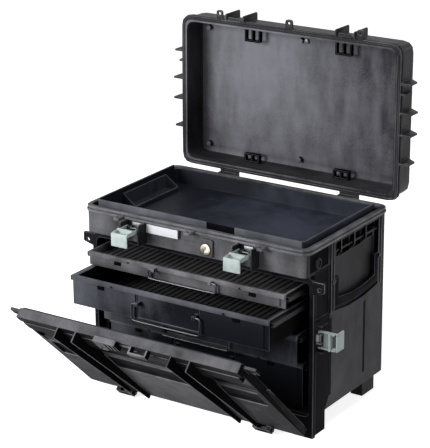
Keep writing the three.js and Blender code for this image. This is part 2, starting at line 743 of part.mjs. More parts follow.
// The tray that lifts out of the base
function topTray() {
  const shape = (inset) => rectangle(
    span(0, tray.halfWidth - inset), span(0, tray.halfDepth - inset), tray.corner - inset,
  );
  const outside = prism('xy', shape(0), [trayBottom, tray.top]);
  const inside = prism('xy', shape(tray.wall), [tray.floor, tray.top + overrun]);
  const wide = span(0, tray.halfWidth + overrun);
  const rearCut = block(
    wide, [tray.halfDepth - tray.corner, tray.halfDepth + overrun], [tray.rearTop, tray.top + overrun],
  );
  const notch = block(
    [tray.notchLeft, tray.notchRight], [-tray.halfDepth - overrun, -tray.halfDepth + tray.wall + overrun],
    [tray.top - tray.notchDepth, tray.top + overrun],
  );
  return cut(outside, inside, rearCut, notch);
}

// The bin at the tray's left wall, open on its slanted top
function trayBin() {
  const left = -tray.halfWidth + tray.wall + seatGap;
  const right = left + bin.width;
  const low = tray.floor + seatGap;
  const outside = outline([[left, low], [right, low], [right, low + bin.low], [left, low + bin.high]]);
  const inside = block(
    [left + bin.wall, right - bin.wall], [bin.front + bin.wall, bin.rear - bin.wall],
    [low + bin.base, low + bin.high + overrun],
  );
  return cut(prism('xz', outside, [bin.front, bin.rear]), inside);
}

// The lid, drawn shut
function lidShell() {
  const shape = (half, depth, corner) => rectangle(span(0, half), span(0, depth), corner);
  const below = block(
    span(0, rim.halfWidth + overrun), span(0, rim.halfDepth + overrun), [rim.bottom - overrun, lid.bottom],
  );
  const outside = cut(prism(
    'xy', shape(lid.halfWidth, lid.halfDepth, lid.corner), [lid.bottom - lid.edge, lid.top],
    { edge: lid.edge },
  ), below);
  const inside = prism(
    'xy', shape(rim.halfWidth - lid.inset, rim.halfDepth - lid.inset, lid.innerCorner),
    [lid.bottom - overrun, lid.top - lid.wall], { edge: lid.edge },
  );
  const sealCut = sealRing(0, [lid.bottom - overrun, lid.bottom + seal.depth]);
  const front = -lid.halfDepth;
  const guards = guardPairs(outline([
    [front + guard.thick, lid.bottom + keeper.low],
    [front - lidGuard.reach, lid.bottom + keeper.low, guard.thick],
    [front - lidGuard.reach, lid.top - lidGuard.top - lidGuard.chamfer],
    [front - lidGuard.reach + lidGuard.chamfer, lid.top - lidGuard.top],
    [front + guard.thick, lid.top - lidGuard.top],
  ]));
  const keepers = bothSides(block(
    span(guard.x, keeper.width / 2), [-rim.halfDepth - keeper.reach, -rim.halfDepth + rim.lip],
    [lid.bottom + keeper.low, lid.bottom + keeper.low + keeper.height],
  ));
  const tabs = padlockTabs([lid.bottom, lid.bottom + tab.thick], tab.reach);
  const lugs = bothSides(lidLug());
  const shell = join(outside, lips(lid.bottom, 1), guards, keepers, tabs, bothSides(sideFins()), lugs);
  return cut(join(cut(shell, inside), lidBosses()), sealCut, bothSides(rod(
    'x', [hinge.y, hinge.z], hinge.pin + seatGap, span(hinge.x, hinge.half + overrun),
  )));
}

// A ring along the middle of the lid's rim
function sealRing(shrink, z) {
  const outer = prism('xy', rimOutline(seal.inset - seal.width / 2 + shrink), z);
  const inner = rimOutline(seal.inset + seal.width / 2 - shrink);
  return cut(outer, prism('xy', inner, [z[0] - overrun, z[1] + overrun]));
}

// The lid's hinge lug, reaching down behind the rim
function lidLug() {
  const x = span(hinge.x, hinge.lugHalf);
  const y = span(hinge.y, hinge.radius);
  const top = lid.bottom + hinge.arm;
  return join(
    rod('x', [hinge.y, hinge.z], hinge.radius, x, roundSides),
    block(x, y, [hinge.z, top]),
    block(x, [lid.halfDepth - lid.wall, y[1]], [lid.bottom + keeper.low, top]),
  );
}

// Fins and ears on the lid's right side, each at full reach by the rim and fading out towards the top
function sideFins() {
  const root = lid.halfWidth - lid.wall;
  const low = lid.bottom + keeper.low;
  const high = lid.top - fin.top;
  const knee = low + (high - low) * fin.kneeShare;
  const flat = (y, reach, thick) => prism('xz', outline([
    [root, low], [lid.halfWidth + reach, low, thick], [lid.halfWidth + reach, knee, thick], [root, high],
  ]), span(y, thick / 2));
  const holeX = lid.halfWidth + fin.earReach - 2 * fin.hole;
  const hole = rod('y', [holeX, low + 2 * fin.hole], fin.hole, [fin.earY - overrun, fin.earY + overrun]);
  return join(
    flat(-fin.y, fin.reach, fin.thick), flat(fin.y, fin.reach, fin.thick),
    flat(fin.smallY, fin.smallReach, fin.thick), flat(-fin.earY, fin.earReach, fin.thick),
    cut(flat(fin.earY, fin.earReach, fin.thick), hole),
  );
}

// Posts inside the lid: one near each corner and two on the middle line
function lidBosses() {
  const ceiling = lid.top - lid.wall;
  const x = rim.halfWidth - lid.inset - boss.inset;
  const y = rim.halfDepth - lid.inset - boss.inset;
  const at = (px, py) => rod('z', [px, py], boss.radius, [ceiling - boss.height, ceiling + lid.wall / 2]);
  return [at(x, y), at(-x, y), at(x, -y), at(-x, -y), at(0, y), at(0, -y)];
}

function lidStud() {
  const ceiling = lid.top - lid.wall;
  const y = -(rim.halfDepth - lid.inset - boss.inset);
  const x = boss.radius + stud.head + seatGap;
  const stem = rod('z', [x, y], stud.radius, [ceiling - stud.height - seatGap, ceiling - seatGap]);
  const head = rod('z', [x, y], stud.head, [ceiling - 2 * stud.height, ceiling - stud.height]);
  return join(stem, head);
}

// The clip at the right of the lid's rear wall, one of four that hold a tool board: a frame with two
// windows, standing off the wall
function boardClip(reach) {
  const wallY = rim.halfDepth - lid.inset - seatGap;
  const high = lid.top - lid.wall - clipSize.below;
  const z = [high - clipSize.high, high];
  const y = [wallY - reach, wallY];
  const windowWidth = (clipSize.width - 3 * clipSize.rib) / 2;
  const windows = [-1, 1].map((side) => block(
    span(clipSize.x + side * (clipSize.rib + windowWidth) / 2, windowWidth / 2),
    [y[0] + clipSize.rib, y[1] - clipSize.rib], [z[0] - overrun, z[1] + overrun],
  ));
  return cut(block(span(clipSize.x, clipSize.width / 2), y, z), windows);
}

// The front panel, drawn shut
function frontPanel() {
  const { inner, outer, low, high } = panel;
  const shape = rectangle(span(0, panel.halfWidth), [low, high], panel.bandCorner / 2);
  const slab = prism('xz', shape, [outer, inner]);
  const bandLow = high - panel.band;
  const band = prism(
    'xz', rectangle(span(0, panel.halfWidth), [bandLow, high], panel.bandCorner / 2),
    [-body.halfDepth, inner],
  );
  const panShape = rectangle(
    span(0, panel.halfWidth - panel.bandCorner), [low + panel.bandCorner, high - panel.bandCorner],
    panel.bandCorner / 2,
  );
  const pan = prism('xz', panShape, [outer + panel.skin, inner + overrun]);
  const coveShape = rectangle(
    span(0, panel.halfWidth - panel.coveStep), [bandLow - panel.coveHeight, bandLow], panel.bandCorner,
  );
  const cove = prism('xz', coveShape, [outer - overrun, outer + panel.coveDepth]);
  const coveLow = bandLow - panel.coveHeight;
  const ledgeShape = rectangle(
    span(0, panel.halfWidth - panel.lipSet), [coveLow - panel.ledgeHeight, bandLow], panel.bandCorner,
  );
  const ledge = prism('xz', ledgeShape, [outer - overrun, outer + panel.ledgeDepth]);
  const lipHalf = panel.halfWidth - panel.lipSet;
  const lipLow = bandLow - panel.lipHeight;
  const lipShape = outline([
    [-lipHalf, lipLow, panel.bandCorner], [lipHalf, lipLow, panel.bandCorner], [lipHalf, bandLow],
    [-lipHalf, bandLow],
  ]);
  const lip = prism('xz', lipShape, [outer - panel.lipProud, outer + panel.skin - panel.finInset]);
  const profile = outline([
    [outer + panel.skin - panel.finInset, low + panel.finInset],
    [outer, low - panel.toeDrop], [outer - panel.toe, low - panel.toeDrop],
    [outer - panel.finReach, high], [outer + panel.skin - panel.finInset, high],
  ]);
  const fins = [guard.x - guard.half, guard.x + guard.half].map(
    (x) => prism('yz', profile, span(x, panel.finThick / 2)),
  ).flatMap(bothSides);
  const ears = bothSides(padlockEar(inner - ear.thick, inner - seatGap, panel.halfWidth));
  const lugs = bothSides(panelLug());
  const dish = cut(join(cut(slab, cove, ledge), band, lip), pan);
  return cut(join(dish, fins, ears, lugs, bothSides(sideCatch())), bothSides(rod(
    'x', [panelHinge.y, panelHinge.z], panelHinge.pin + seatGap,
    span(panelHinge.x, panelHinge.width + overrun),
  )));
}

// Lugs of the front panel on both sides of one frame lug, and the cover in front of all three
function panelLug() {
  const near = panelHinge.width / 2 + runGap;
  const far = near + panelHinge.width / 2;
  const front = panelHinge.y - panelHinge.radius - runGap;
  const top = panel.low + panelHinge.arm;
  const cover = block(
    span(panelHinge.x, far), [front - panelHinge.cover, front], [panelHinge.z - panelHinge.drop, top],
  );
  const lugs = [[-far, -near], [near, far]].map(([from, to]) => {
    const x = [panelHinge.x + from, panelHinge.x + to];
    return join(
      rod('x', [panelHinge.y, panelHinge.z], panelHinge.radius, x),
      block(x, [front - panelHinge.cover, panel.outer + panel.skin / 2], [panelHinge.z, top]),
    );
  });
  return join(lugs, cover);
}

// The ledge at the panel's right edge that the side latch hooks over
const sideCatch = () => block(
  [panel.halfWidth - sideKeeper.reach, panel.halfWidth + sideKeeper.reach],
  [sideKeeper.back - sideKeeper.thick, sideKeeper.back], span(sideLatch.z, sideKeeper.length / 2),
);

// The padlock block in the middle of the panel's upper edge
function panelHasp() {
  const face = -body.halfDepth - seatGap;
  const front = face - hasp.reach;
  const low = panel.high - panel.band + hasp.thick;
  const top = panel.high + hasp.rise;
  const shape = rectangle([hasp.left, hasp.right], [low, top], hasp.thick);
  const eyeX = hasp.left + hasp.reach;
  const eye = rod('y', [eyeX, low], hasp.reach, [front, front + hasp.thick], roundSides);
  const hole = rod('y', [eyeX, low], hasp.hole, [front - overrun, face + overrun]);
  const pitch = (hasp.right - eyeX) / (hasp.bars + 1);
  const slots = [];
  for (let k = 1; k <= hasp.bars; k += 1) {
    slots.push(block(
      span(eyeX + k * pitch + hasp.thick, hasp.thick / 2), [front - overrun, front + hasp.thick],
      [low - overrun, top - hasp.thick],
    ));
  }
  return cut(join(prism('xz', shape, [front, face]), eye), hole, slots);
}

// The open loop beside the padlock block
function panelLoop() {
  const face = -body.halfDepth - seatGap;
  const top = panel.high - seatGap;
  const z = [top - loop.height, top];
  const outside = block([loop.left, loop.right], [face - loop.reach, face], z);
  return cut(outside, block(
    [loop.left + loop.thick, loop.right - loop.thick],
    [face - loop.reach + loop.thick, face + overrun], [z[0] - overrun, z[1] + overrun],
  ));
}

// The strip that carries the padlock block and the loop
const panelStrip = () => block(
  [hasp.right - hasp.thick, loop.left + loop.thick],
  [-body.halfDepth - seatGap - loop.thick / 2, -body.halfDepth - seatGap],
  [panel.high - loop.height, panel.high - loop.thick],
);

// The seal strip on the panel's inner edge
function panelSeal() {
  const y = [panel.inner + seatGap, frame.front - seatGap];
  const ring = (inset) => rectangle(
    span(0, panel.halfWidth - inset), [panel.low + inset, panel.high - inset], panel.bandCorner,
  );
  return cut(
    prism('xz', ring(panelSealSize.edge), y),
    prism('xz', ring(panelSealSize.edge + panelSealSize.width), [y[0] - overrun, y[1] + overrun]),
  );
}

// One side handle, drawn on the right side: two arms with their pins, and a bar below them
function sideHandle() {
  const x = span(handleX, handle.thick / 2);
  const y = [recess.front + runGap, recess.rear - runGap];
  const top = handleZ + handle.above;
  const shape = (inset, low, high) => {
    const bow = new THREE.Shape();
    bow.moveTo(y[0] + inset, high);
    bow.lineTo(y[0] + inset, low);
    bow.quadraticCurveTo((y[0] + y[1]) / 2, low - 2 * handle.sag, y[1] - inset, low);
    bow.lineTo(y[1] - inset, high);
    bow.closePath();
    return bow;
  };
  const outer = prism('yz', shape(0, handleZ - handle.drop, top), x);
  const inner = prism(
    'yz', shape(handle.arm, handleZ - handle.drop + handle.bar, top + overrun), span(handleX, handle.thick),
  );
  const pins = [recess.front, recess.rear].map(
    (y) => rod('y', [handleX, handleZ], handle.pin, span(y, handle.pinReach - seatGap)),
  );
  return join(cut(outer, inner), pins);
}

// A latch's bracket with its riveted pin, in the latch's own frame: X across, Y towards the wall,
// Z along the shut yoke
function latchBracket({ out, high }) {
  const { half, low, radius } = latch.bracket;
  const back = out - seatGap;
  const plate = block(span(0, half), [back - latch.thick, back], [-low, high]);
  const ears = bothSides(block([half - latch.thick, half], [-radius, back], span(0, radius)));
  return join(plate, ears, rod('x', [0, 0], latch.pin, span(0, latch.pinHalf)));
}

// The yoke, from the pin at the origin to the lever's pivot
function latchYoke({ reach, hookAt, hookHigh }) {
  const { inner, half, corner } = latch.cheek;
  const outer = inner + latch.thick;
  const profile = rectangle(span(0, half), [-half, reach + half], corner);
  const cheeks = bothSides(prism('yz', profile, [inner, outer]));
  const hook = block(span(0, outer), [-half, hookHigh], [hookAt, hookAt + latch.hookThick]);
  const web = block(
    span(0, outer), [-half, -half + latch.web.thick], [latch.web.start, reach - latch.web.end],
  );
  const holes = [0, reach].map((z) => rod('x', [0, z], latch.pin + seatGap, span(0, latch.pinHalf)));
  return cut(join(cheeks, hook, web), holes);
}

// The lever, hung from its pivot at the origin
function latchLever() {
  const { half, drop, above, offset, thick, corner } = latch.lever;
  const arm = latch.leverEar;
  const plate = prism('xz', rectangle(span(0, half), [-drop, above], corner), [-offset - thick, -offset]);
  const ears = bothSides(block(
    [arm.inner, arm.inner + arm.thick], [-offset - thick / 2, arm.high], [-arm.low, arm.high],
  ));
  const pins = bothSides(rod('x', [0, 0], latch.pin, [arm.inner, latch.cheek.inner + latch.thick]));
  return join(plate, ears, pins);
}

// The lock's plate on the upper band, its cylinder and the cam behind it
const lockPlateFront = -body.halfDepth - seatGap - lock.proud;

function lockHousing() {
  const y = [lockPlateFront, -body.halfDepth - seatGap];
  const plate = prism(
    'xz', rectangle([lock.plateLeft, lock.plateRight], [lock.low, lock.high], lock.proud), y,
  );
  return cut(plate, rod(
    'y', [lock.x, lock.z], lock.radius + runGap, [y[0] - overrun, y[1] + overrun], roundSides,
  ));
}

function lockCylinder() {
  const front = lockPlateFront - lock.faceProud;
  const face = rod('y', [lock.x, lock.z], lock.face, [front, lockPlateFront - seatGap], roundSides);
  const barrel = rod(
    'y', [lock.x, lock.z], lock.radius, [front + lock.slotDepth, wellFront + lock.faceProud], roundSides,
  );
  const slot = block(
    span(lock.x, lock.slotWidth / 2), [front - overrun, front + lock.slotDepth],
    span(lock.z, lock.slotLength / 2),
  );
  return cut(join(face, barrel), slot);
}

function lockCam() {
  const front = wellFront + lock.faceProud + seatGap;
  const shape = rectangle(
    span(lock.x, lock.camWidth / 2), [lock.z - lock.camWidth / 2, lock.z + lock.camLength],
    lock.camWidth / 3,
  );
  return prism('xz', shape, [front, front + lock.camThick]);
}

// The label holder on the upper band and the card in it
function labelFrame() {
  const y = [-body.halfDepth - seatGap - label.proud, -body.halfDepth - seatGap];
  return cut(block([label.left, label.right], y, [label.low, label.high]), block(
    [label.left + label.frame, label.right - label.frame], [y[0] - overrun, y[1] + overrun],
    [label.low + label.frame, label.high - label.frame],
  ));
}

function labelCard() {
  const edge = label.frame + seatGap;
  const back = -body.halfDepth - seatGap;
  return block(
    [label.left + edge, label.right - edge], [back - label.card, back],
    [label.low + edge, label.high - edge],
  );
}

// Groups that stand where the moving pieces stand at rest
const whole = new THREE.Group();
const degrees = THREE.MathUtils.degToRad;

function turned(parent, y, z, angle) {
  const pivot = new THREE.Group();
  pivot.position.set(0, y, z);
  pivot.rotation.x = degrees(angle);
  const inner = new THREE.Group();
  inner.position.set(0, -y, -z);
  pivot.add(inner);
  parent.add(pivot);
  return inner;
}

function slid(parent, out) {
  const group = new THREE.Group();
  group.position.set(0, -out, 0);
  parent.add(group);
  return group;
}

function placeBoth(name, shape, finish) {
  bothSides(shape).forEach((half, i) => place(whole, `${name}_${sideNames[1 - i]}`, half, finish));
}

// The case and everything fixed to it
place(whole, 'base_shell', baseShell(), charcoal);
place(whole, 'bay_frame', bayFrame(), charcoal);
placeBoth('rail_panel', railPanel(), jet);
place(whole, 'top_tray', topTray(), slate);
place(whole, 'tray_bin', trayBin(), slate);
place(whole, 'label_frame', labelFrame(), slate);
place(whole, 'label_card', labelCard(), paper);
place(whole, 'lock_housing', lockHousing(), charcoal);
place(whole, 'lock_cylinder', lockCylinder(), brass);
place(whole, 'lock_cam', lockCam(), steel);
placeBoth('lid_hinge_pin', rod('x', [hinge.y, hinge.z], hinge.pin, span(hinge.x, hinge.half)), steel);
placeBoth('panel_hinge_pin', rod(
  'x', [panelHinge.y, panelHinge.z], panelHinge.pin, span(panelHinge.x, panelHinge.width + runGap),
), steel);
placeBoth('side_handle', sideHandle(), charcoal);

// The lid
const lidGroup = turned(whole, hinge.y, hinge.z, -lid.openDegrees);
place(lidGroup, 'lid_shell', lidShell(), charcoal);
place(lidGroup, 'lid_gasket', sealRing(
  seatGap, [lid.bottom + seal.depth - seal.height - seatGap, lid.bottom + seal.depth - seatGap],
), rubber);
['rear', 'front'].forEach((wall) => {
  const clipShape = wall === 'rear'
    ? boardClip(clipSize.rearReach) : mirrored(boardClip(clipSize.frontReach), 'y');
  bothSides(clipShape).forEach((shape, i) => {
    place(lidGroup, `lid_board_clip_${wall}_${sideNames[1 - i]}`, shape, charcoal);
  });
});
place(lidGroup, 'lid_stud', lidStud(), steel);

// The front panel
const panelGroup = turned(whole, panelHinge.y, panelHinge.z, panel.openDegrees);
place(panelGroup, 'front_panel', frontPanel(), charcoal);
place(panelGroup, 'panel_seal', panelSeal(), rubber);
place(panelGroup, 'panel_lock_block', join(panelHasp(), panelLoop(), panelStrip()), charcoal);

// The drawers
drawer.units.forEach((unit, i) => {
  const group = slid(whole, drawer.out[i]);
  const name = `drawer_${i + 1}`;
  place(group, `${name}_runners`, runners(i), steel);
  place(group, name, drawerTub(i), slate);
  place(group, `${name}_mat`, drawerMat(i), rubber);
  place(group, `${name}_bail`, drawerBail(i), steel);
});

// The latches
function addLatch(name, size, position, across, towardsWall) {
  const group = new THREE.Group();
  const up = new THREE.Vector3().crossVectors(across, towardsWall);
  group.matrixAutoUpdate = false;
  group.matrix.makeBasis(across, towardsWall, up).setPosition(position);
  group.matrix.decompose(group.position, group.quaternion, group.scale);
  group.matrixAutoUpdate = true;
  whole.add(group);
  place(group, `${name}_latch_bracket`, latchBracket(size), steel);
  const yoke = new THREE.Group();
  yoke.rotation.x = degrees(latch.openDegrees);
  group.add(yoke);
  place(yoke, `${name}_latch_yoke`, latchYoke(size), celadon);
  const lever = new THREE.Group();
  lever.position.set(0, 0, size.reach);
  lever.rotation.x = -degrees(latch.openDegrees);
  yoke.add(lever);
  place(lever, `${name}_latch_lever`, latchLever(), celadon);
}

const axisX = new THREE.Vector3(1, 0, 0);
const axisY = new THREE.Vector3(0, 1, 0);
const axisZ = new THREE.Vector3(0, 0, 1);
[-1, 1].forEach((way, i) => {
  const front = new THREE.Vector3(way * guard.x, -body.halfDepth - frontLatch.out, frontLatch.z);
  addLatch(`front_${sideNames[i]}`, frontLatch, front, axisX, axisY);
  const side = new THREE.Vector3(way * (body.halfWidth + sideLatch.out), sideLatch.y, sideLatch.z);
  const across = axisZ.clone().multiplyScalar(way);
  addLatch(`side_${sideNames[i]}`, sideLatch, side, across, axisX.clone().multiplyScalar(-way));
});

// The middle of the whole stands at the origin
const box = new THREE.Box3().setFromObject(whole);
whole.position.y = -(box.min.y + box.max.y) / 2;

export default whole;
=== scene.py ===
"""A hard tool case, open: lid up, front panel down, and its upper drawers part way out."""
import math

import bpy
from mathutils import Matrix, Vector


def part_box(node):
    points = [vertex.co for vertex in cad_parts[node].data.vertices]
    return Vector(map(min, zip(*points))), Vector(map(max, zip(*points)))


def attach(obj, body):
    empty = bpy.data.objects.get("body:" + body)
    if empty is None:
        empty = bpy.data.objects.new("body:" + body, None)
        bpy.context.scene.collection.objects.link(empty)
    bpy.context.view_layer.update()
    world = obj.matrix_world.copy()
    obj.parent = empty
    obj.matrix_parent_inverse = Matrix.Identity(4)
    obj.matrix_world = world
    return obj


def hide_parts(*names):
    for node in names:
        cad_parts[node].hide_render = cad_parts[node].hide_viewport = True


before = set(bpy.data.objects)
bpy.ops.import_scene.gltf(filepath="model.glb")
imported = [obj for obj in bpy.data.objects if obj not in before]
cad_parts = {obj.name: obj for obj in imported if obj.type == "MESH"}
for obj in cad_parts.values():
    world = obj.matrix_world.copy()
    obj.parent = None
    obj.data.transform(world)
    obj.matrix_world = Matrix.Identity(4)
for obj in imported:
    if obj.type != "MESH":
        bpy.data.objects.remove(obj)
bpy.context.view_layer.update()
bpy.ops.object.select_all(action="DESELECT")


# The camera stands high and to the right of the case's front, with a long lens. Its axes are
# worked out from the angles at which the photograph was taken.
azimuth, elevation, roll = (math.radians(angle) for angle in (33.5275, 19.1816, -0.4385))
focal_pixels, photo_height, sensor_height = 1906.85, 448, 36
look_back = Vector((
    math.sin(azimuth) * math.cos(elevation), -math.cos(azimuth) * math.cos(elevation),
    math.sin(elevation),
))
level = Vector((math.cos(azimuth), math.sin(azimuth), 0))
across = level * math.cos(roll) + look_back.cross(level) * math.sin(roll)
upright = look_back.cross(across)
bpy.ops.object.camera_add(location=(2.02367, -3.05438, 1.66493))
camera = bpy.context.object
camera.name = "camera"
camera.rotation_euler = Matrix((across, upright, look_back)).transposed().to_euler()
camera.data.lens = focal_pixels / photo_height * sensor_height
camera.data.clip_end = 40
bpy.context.scene.camera = camera


# The base is one heavy moulding in black structural plastic: drawer bay, tray well, rim, feet and
# side recesses. The mould left it a fine spark-eroded grain and a cloudy sheen. Its edge roundings
# carry a painted highlight.
class Value:
    """What one node of a finish gives, for use in sums."""

    def __init__(self, finish, socket):
        self.finish, self.socket = finish, socket

    def __add__(self, other):
        return self.finish.sum("ADD", self, other)

    def __sub__(self, other):
        return self.finish.sum("SUBTRACT", self, other)

    def __rsub__(self, other):
        return self.finish.sum("SUBTRACT", other, self)

    def __mul__(self, other):
        return self.finish.sum("MULTIPLY", self, other)

    __radd__, __rmul__ = __add__, __mul__


class Finish:
    """The nodes of a material or of the surroundings, which end in one shader."""

    def __init__(self, owner, shader="Principled BSDF", **fixed):
        owner.use_nodes = True
        self.owner = owner
        self.tree = owner.node_tree
        self.shader = self.tree.nodes[shader]
        self.feed(**fixed)

    def fill(self, socket, value):
        if isinstance(value, Value):
            self.tree.links.new(value.socket, socket)
        else:
            socket.default_value = value

    def feed(self, **sockets):
        """Gives the shader's sockets what they are named with, a fixed value or a node's."""
        for name, value in sockets.items():
            self.fill(self.shader.inputs[name.replace("_", " ")], value)
        return self.owner

    def node(self, kind, settings, inputs, output=0):
        """Adds a node with its settings and what goes into its sockets, and gives one output."""
        node = self.tree.nodes.new("ShaderNode" + kind)
        for name, value in settings.items():
            setattr(node, name, value)
        for key, value in inputs.items():
            self.fill(node.inputs[key], value)
        return Value(self, node.outputs[output])

    def sum(self, operation, first, second):
        return self.node("Math", {"operation": operation}, {0: first, 1: second})

    def place(self):
        return self.node("TexCoord", {}, {}, "Object")

    def noise(self, scale, detail=2.0, stretch=(1, 1, 1)):
        """Soft patches that many to the metre, drawn out where the stretch is below 1."""
        where = self.node("VectorMath", {"operation": "MULTIPLY"}, {0: self.place(), 1: stretch})
        return self.node("TexNoise", {}, {"Vector": where, "Scale": scale, "Detail": detail})

    def blend(self, share, first, second):
        colours = {0: share, 6: (*first, 1), 7: (*second, 1)}
        return self.node("Mix", {"data_type": "RGBA"}, colours, 2)

    def bumped(self, height, depth, strength):
        relief = {"Height": height, "Distance": depth, "Strength": strength}
        return self.node("Bump", {}, relief)


def moulded_plastic(name, dark, light, roughness, grain, cloud=7.0, light_pool=None, sheen=0.05):
    """Black or tinted plastic. A patch can be given by its middle and radius: a painted pool of
    light, lighter towards the middle, with scuff streaks over the whole material.

    Haze is its cloudy sheen, flow the streaks of the melt, and skin and pits the eroded grain.
    """
    finish = Finish(bpy.data.materials.new(name), Specular_IOR_Level=sheen)
    haze = finish.noise(cloud, detail=3.0)
    flow = finish.noise(34.0, detail=4.0, stretch=(1, 1, 0.35))
    skin = finish.noise(620.0, detail=1.0)
    pits = finish.node("TexVoronoi", {}, {"Vector": finish.place(), "Scale": 480.0})
    tone = haze * 1.5 + flow * 0.9 + skin * 0.5 - 1.07
    # A painted pool of light: the colour grows lighter towards the given middle, and scuff streaks
    # run over it.
    if light_pool:
        middle, radius = light_pool
        away = finish.node(
            "VectorMath", {"operation": "DISTANCE"}, {0: finish.place(), 1: middle}, "Value",
        )
        scuffs = finish.noise(60.0, detail=8.0, stretch=(0.25, 1, 1))
        tone = tone + scuffs * 0.2 + 0.57 - away * (1 / radius)
    return finish.feed(
        Base_Color=finish.blend(tone, dark, light),
        Roughness=haze * 0.16 + skin * 0.12 + roughness - 0.14,
        Normal=finish.bumped(skin + pits * 0.6 + flow * 0.4, grain, 0.5),
    )


def block(x, y, z):
    """A block between ranges along X, Y and Z."""
    bpy.ops.object.select_all(action="DESELECT")
    middle = [(low + high) / 2 for low, high in (x, y, z)]
    bpy.ops.mesh.primitive_cube_add(size=1, location=middle)
    solid = bpy.context.object
    solid.scale = [high - low for low, high in (x, y, z)]
    bpy.ops.object.transform_apply(location=True, rotation=True, scale=True)
    return solid


def rounded(piece, width, segments, turn=30, clamped=True, edge=None):
    """Rounds the edges of a piece; an edge finish covers the roundings alone, as a painted
    highlight.
    """
    bpy.context.view_layer.objects.active = piece
    bevel = piece.modifiers.new("edges", "BEVEL")
    bevel.width = width
    bevel.segments = segments
    bevel.limit_method = "ANGLE"
    bevel.angle_limit = math.radians(turn)
    bevel.use_clamp_overlap = clamped
    if edge:
        piece.data.materials.append(edge)
        bevel.material = len(piece.data.materials) - 1
    bpy.ops.object.modifier_apply(modifier=bevel.name)


def carve(piece, x, y, z, material, placed):
    """Sinks a block into a piece; the walls of the pocket take the material.

    A placed block has its ranges along X, upwards and outwards on a part that is turned about a
    hinge axis, and its edges are rounded.
    """
    cutter = block(x, y, z)
    if placed:
        turn, axis, rounding = placed
        rounded(cutter, rounding, segments=5)
        cutter.rotation_euler = (turn + math.pi / 2, 0, 0)
        cutter.location = axis
        bpy.ops.object.transform_apply(location=True, rotation=True, scale=True)
    cutter.data.materials.append(material)
    bpy.context.view_layer.objects.active = piece
    sinking = piece.modifiers.new("sinking", "BOOLEAN")
    sinking.operation = "DIFFERENCE"
    sinking.object = cutter
    sinking.material_mode = "TRANSFER"
    bpy.ops.object.modifier_apply(modifier=sinking.name)
    bpy.data.objects.remove(cutter)


def softened(
    node, name, body, material, width, segments=2, turn=28, pockets=(), placed=None, edge=None,
):
    """A copy of a node, its flat faces joined and its edges rounded, that stands for the node.

    Each pocket is a block to sink first, given by its ranges and its finish.
    """
    bpy.ops.object.select_all(action="DESELECT")
    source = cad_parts[node]
    source.select_set(True)
    bpy.context.view_layer.objects.active = source
    bpy.ops.object.duplicate()
    piece = bpy.context.object
    piece.name = name
    for key in [k for k in piece.keys() if k.startswith("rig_")]:
        del piece[key]
    piece.parent = None
    bpy.ops.object.mode_set(mode="EDIT")
    bpy.ops.mesh.select_all(action="SELECT")
    bpy.ops.mesh.remove_doubles(threshold=0.00002)
    bpy.ops.mesh.tris_convert_to_quads(face_threshold=math.radians(1), shape_threshold=math.pi)
    bpy.ops.object.mode_set(mode="OBJECT")
    for x, y, z, dark in pockets:
        carve(piece, x, y, z, dark, placed)
    rounded(piece, width, segments, turn, clamped=False, edge=edge)
    bpy.ops.object.shade_smooth_by_angle(angle=math.radians(turn))
    piece.data.materials[0] = material
    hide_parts(node)
    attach(piece, body)
    return piece


def paint_light_and_shade(piece, material, chosen):
    """Gives a second finish to the faces of a piece that a test of middle and normal chooses; the
    finishes so given are painted light and painted shade.
    """
    piece.data.materials.append(material)
    for face in piece.data.polygons:
        if chosen(face.center, face.normal):
            face.material_index = len(piece.data.materials) - 1


charcoal = moulded_plastic(
    "charcoal_plastic", (0.010, 0.010, 0.011), (0.044, 0.044, 0.048), roughness=0.44, grain=0.00006,
)
# A lighter copy of the charcoal: painted light on the flat sides that the lamps catch, and a
# painted highlight on some roundings.
dim_lit_charcoal = moulded_plastic(
    "charcoal_painted_dim_light", (0.020, 0.020, 0.022), (0.092, 0.092, 0.099), roughness=0.42, grain=0.00006,
    cloud=9.0,
)
# A still lighter copy: painted light on forward faces that the lamps catch, and a painted highlight
# on edge roundings.
lit_charcoal = moulded_plastic(
    "charcoal_painted_light", (0.035, 0.035, 0.038), (0.178, 0.179, 0.192), roughness=0.40, grain=0.00006,
    cloud=12.0,
)
# The lightest copy: a painted highlight on the rims, lips, ledges and upper faces that catch the
# most light.
highlit_charcoal = moulded_plastic(
    "charcoal_painted_highlight", (0.070, 0.070, 0.075), (0.270, 0.270, 0.290), roughness=0.36, grain=0.00005,
    cloud=15.0,
)
# A darker copy: painted shade on faces that lie in shadow, in recesses, troughs and under
# overhangs.
shaded_charcoal = moulded_plastic(
    "charcoal_painted_shade", (0.004, 0.004, 0.005), (0.019, 0.019, 0.021), roughness=0.5, grain=0.00006,
    sheen=0.008,
)
# Near-black: painted shade in pockets, grooves and on faces turned from the light, and the black of
# the board clips and drawer catches.
black_and_shade = moulded_plastic(
    "black_plastic_and_painted_shade", (0.002, 0.002, 0.002), (0.007, 0.007, 0.008), roughness=0.6, grain=0.00004,
    sheen=0.008,
)

side_face, groove_floor, recess_floor = 0.2640, 0.2615, 0.2555
pocket_floor = side_face - 0.0026
pocket_reach = (pocket_floor, side_face + 0.0008)
groove_reach = (groove_floor - 0.0012, side_face + 0.0010)
niche_reach = (recess_floor - 0.0022, recess_floor + 0.0010)
pocket_rear, groove_low, niche_upwards = 0.0105, 0.0680, (0.3540, 0.3880)
sunk_blocks = (
    (pocket_reach, (-0.0660, pocket_rear), (0.3525, 0.3920)),
    (pocket_reach, (-0.0440, pocket_rear), (0.2500, 0.3470)),
    (groove_reach, (0.0133, 0.0213), (groove_low, 0.2360)),
    (groove_reach, (0.1513, 0.1593), (groove_low, 0.2270)),
    (niche_reach, (0.0560, 0.1040), niche_upwards),
    (niche_reach, (0.1095, 0.1500), niche_upwards),
    (niche_reach, (0.1560, 0.2030), niche_upwards),
)
